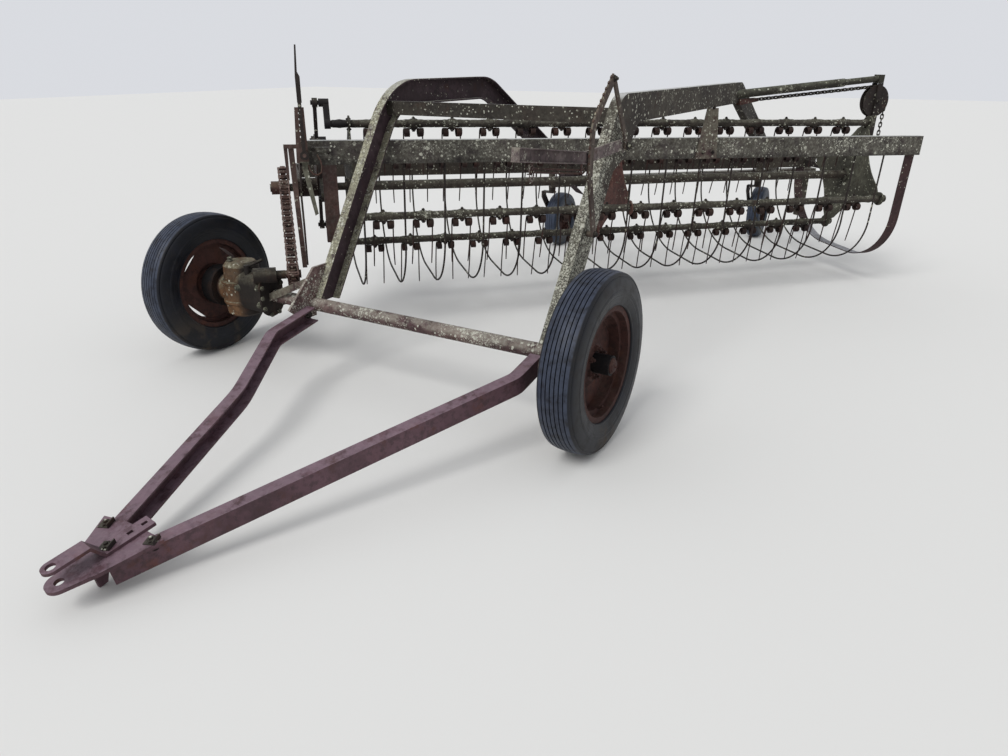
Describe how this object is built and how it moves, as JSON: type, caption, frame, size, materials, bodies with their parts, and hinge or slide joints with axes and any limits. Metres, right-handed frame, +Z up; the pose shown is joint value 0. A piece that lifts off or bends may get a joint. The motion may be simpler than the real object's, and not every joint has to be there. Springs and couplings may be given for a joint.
{
  "type": "rotary hay rake",
  "caption": "Tractor-drawn rotary hay rake: a slanted parallel-bar reel of coil tines under two arches, with bent tongue, gearbox drive and caster wheels",
  "frame": {"origin": "centre of the hitch pin's hole, halfway between the two ears", "axes": "+Y to the rear of the machine, +X to its left side, +Z up; as parked, tongue on the ground"},
  "size_m": [3.2451, 5.8811, 1.4333],
  "materials": {
    "arch_paint": "matte",
    "mossy_paint": "matte",
    "tongue_paint": "matte",
    "axle_paint": "matte",
    "gearbox_iron": "matte",
    "rust_steel": "rusty",
    "dark_steel": "matte",
    "tine_steel": "rusty",
    "head_dark": "matte",
    "head_brown": "rusty",
    "head_grey": "matte",
    "rim_rust": "rusty",
    "main_rubber": "dusty",
    "caster_rubber": "dusty"
  },
  "bodies": {
    "frame": {"axle": "axle_paint", "arch_right": "arch_paint", "arch_left": "mossy_paint", "arch_brace": "mossy_paint", "rear_member": "mossy_paint", "gearbox": "gearbox_iron", "drive_sprocket": "rust_steel", "drive_chain": "rust_steel", "front_beam": "mossy_paint", "rear_beam": "mossy_paint", "strippers": "dark_steel", "end_band": "arch_paint", "front_end_frame": "dark_steel", "rear_bearing": "dark_steel", "lift_arm": "mossy_paint", "lift_chain": "dark_steel", "gussets": "arch_paint", "left_quadrant": "rust_steel", "right_quadrant": "rust_steel"},
    "tongue": {"tongue_right": "tongue_paint", "tongue_left": "tongue_paint", "hitch": "tongue_paint"},
    "wheel_left_body": {"tyre_left": "main_rubber", "wheel_left": "rim_rust"},
    "wheel_right_body": {"tyre_right": "main_rubber", "wheel_right": "rim_rust"},
    "reel": {"reel_tube": "mossy_paint", "head_front": "head_dark", "head_middle": "head_brown", "head_rear": "head_grey", "reel_sprocket": "rust_steel"},
    "control_ring_body": {"control_ring": "dark_steel"},
    "bar_1": {"tooth_bar_1": "mossy_paint", "tines_1": "tine_steel"},
    "bar_2": {"tooth_bar_2": "mossy_paint", "tines_2": "tine_steel"},
    "bar_3": {"tooth_bar_3": "mossy_paint", "tines_3": "tine_steel"},
    "bar_4": {"tooth_bar_4": "mossy_paint", "tines_4": "tine_steel"},
    "caster_left": {"caster_arm_left": "dark_steel"},
    "caster_left_wheel": {"caster_tyre_left": "caster_rubber", "caster_wheel_left": "rim_rust"},
    "caster_right": {"caster_arm_right": "dark_steel"},
    "caster_right_wheel": {"caster_tyre_right": "caster_rubber", "caster_wheel_right": "rim_rust"},
    "left_lever_body": {"left_lever": "rust_steel"},
    "right_lever_body": {"right_lever": "dark_steel"},
    "pulley": {"lift_pulley": "dark_steel"}
  },
  "joints": [
    {"name": "tongue_hinge", "type": "hinge", "parent": "frame", "child": "tongue", "pos_m": [0.044, 1.51208, 0.19479], "axis": [-1, 0, 0], "range_deg": [0, 25]},
    {"name": "wheel_left_spin", "type": "hinge", "parent": "frame", "child": "wheel_left_body", "pos_m": [0.834, 1.57808, 0.22479], "axis": [1, 0, 0], "continuous": true},
    {"name": "wheel_right_spin", "type": "hinge", "parent": "frame", "child": "wheel_right_body", "pos_m": [-1.274, 1.57808, 0.22479], "axis": [1, 0, 0], "continuous": true},
    {"name": "reel_spin", "type": "hinge", "parent": "frame", "child": "reel", "pos_m": [0.096, 3.44608, 0.59079], "axis": [0.6818, 0.7312, -0.0209], "continuous": true},
    {"name": "bar_1_spin", "type": "hinge", "parent": "reel", "child": "bar_1", "pos_m": [0.17866, 3.3784, 0.91883], "axis": [0.6818, 0.7312, -0.0209], "continuous": true},
    {"name": "bar_2_spin", "type": "hinge", "parent": "reel", "child": "bar_2", "pos_m": [0.33444, 3.22067, 0.4842], "axis": [0.6818, 0.7312, -0.0209], "continuous": true},
    {"name": "bar_3_spin", "type": "hinge", "parent": "reel", "child": "bar_3", "pos_m": [0.01334, 3.51376, 0.26275], "axis": [0.6818, 0.7312, -0.0209], "continuous": true},
    {"name": "bar_4_spin", "type": "hinge", "parent": "reel", "child": "bar_4", "pos_m": [-0.14244, 3.67149, 0.69738], "axis": [0.6818, 0.7312, -0.0209], "continuous": true},
    {"name": "control_ring_spin", "type": "hinge", "parent": "frame", "child": "control_ring_body", "pos_m": [-1.09618, 2.22028, 0.72529], "axis": [0.6818, 0.7312, -0.0209], "continuous": true},
    {"name": "caster_left_swivel", "type": "hinge", "parent": "frame", "child": "caster_left", "pos_m": [0.52, 5.47508, 0.41979], "axis": [0, 0, 1], "continuous": true},
    {"name": "caster_left_spin", "type": "hinge", "parent": "caster_left", "child": "caster_left_wheel", "pos_m": [0.52, 5.64508, 0.08229], "axis": [1, 0, 0], "continuous": true},
    {"name": "caster_right_swivel", "type": "hinge", "parent": "frame", "child": "caster_right", "pos_m": [-0.78, 4.38808, 0.41979], "axis": [0, 0, 1], "continuous": true},
    {"name": "caster_right_spin", "type": "hinge", "parent": "caster_right", "child": "caster_right_wheel", "pos_m": [-0.78, 4.55808, 0.08229], "axis": [1, 0, 0], "continuous": true},
    {"name": "left_lever_hinge", "type": "hinge", "parent": "frame", "child": "left_lever_body", "pos_m": [0.661, 2.17108, 0.92879], "axis": [1, 0, 0], "range_deg": [-50, 20]},
    {"name": "right_lever_hinge", "type": "hinge", "parent": "frame", "child": "right_lever_body", "pos_m": [-0.76844, 1.8182, 0.84312], "axis": [-0.7314, 0.682, 0], "range_deg": [-12, 12]},
    {"name": "pulley_spin", "type": "hinge", "parent": "frame", "child": "pulley", "pos_m": [1.32411, 4.76307, 1.00582], "axis": [-0.7314, 0.682, 0], "continuous": true}
  ],
  "couplings": [
    {"joint": "bar_1_spin", "follows": "reel_spin", "ratio": -1},
    {"joint": "bar_2_spin", "follows": "reel_spin", "ratio": -1},
    {"joint": "bar_3_spin", "follows": "reel_spin", "ratio": -1},
    {"joint": "bar_4_spin", "follows": "reel_spin", "ratio": -1},
    {"joint": "control_ring_spin", "follows": "reel_spin", "ratio": 1}
  ]
}
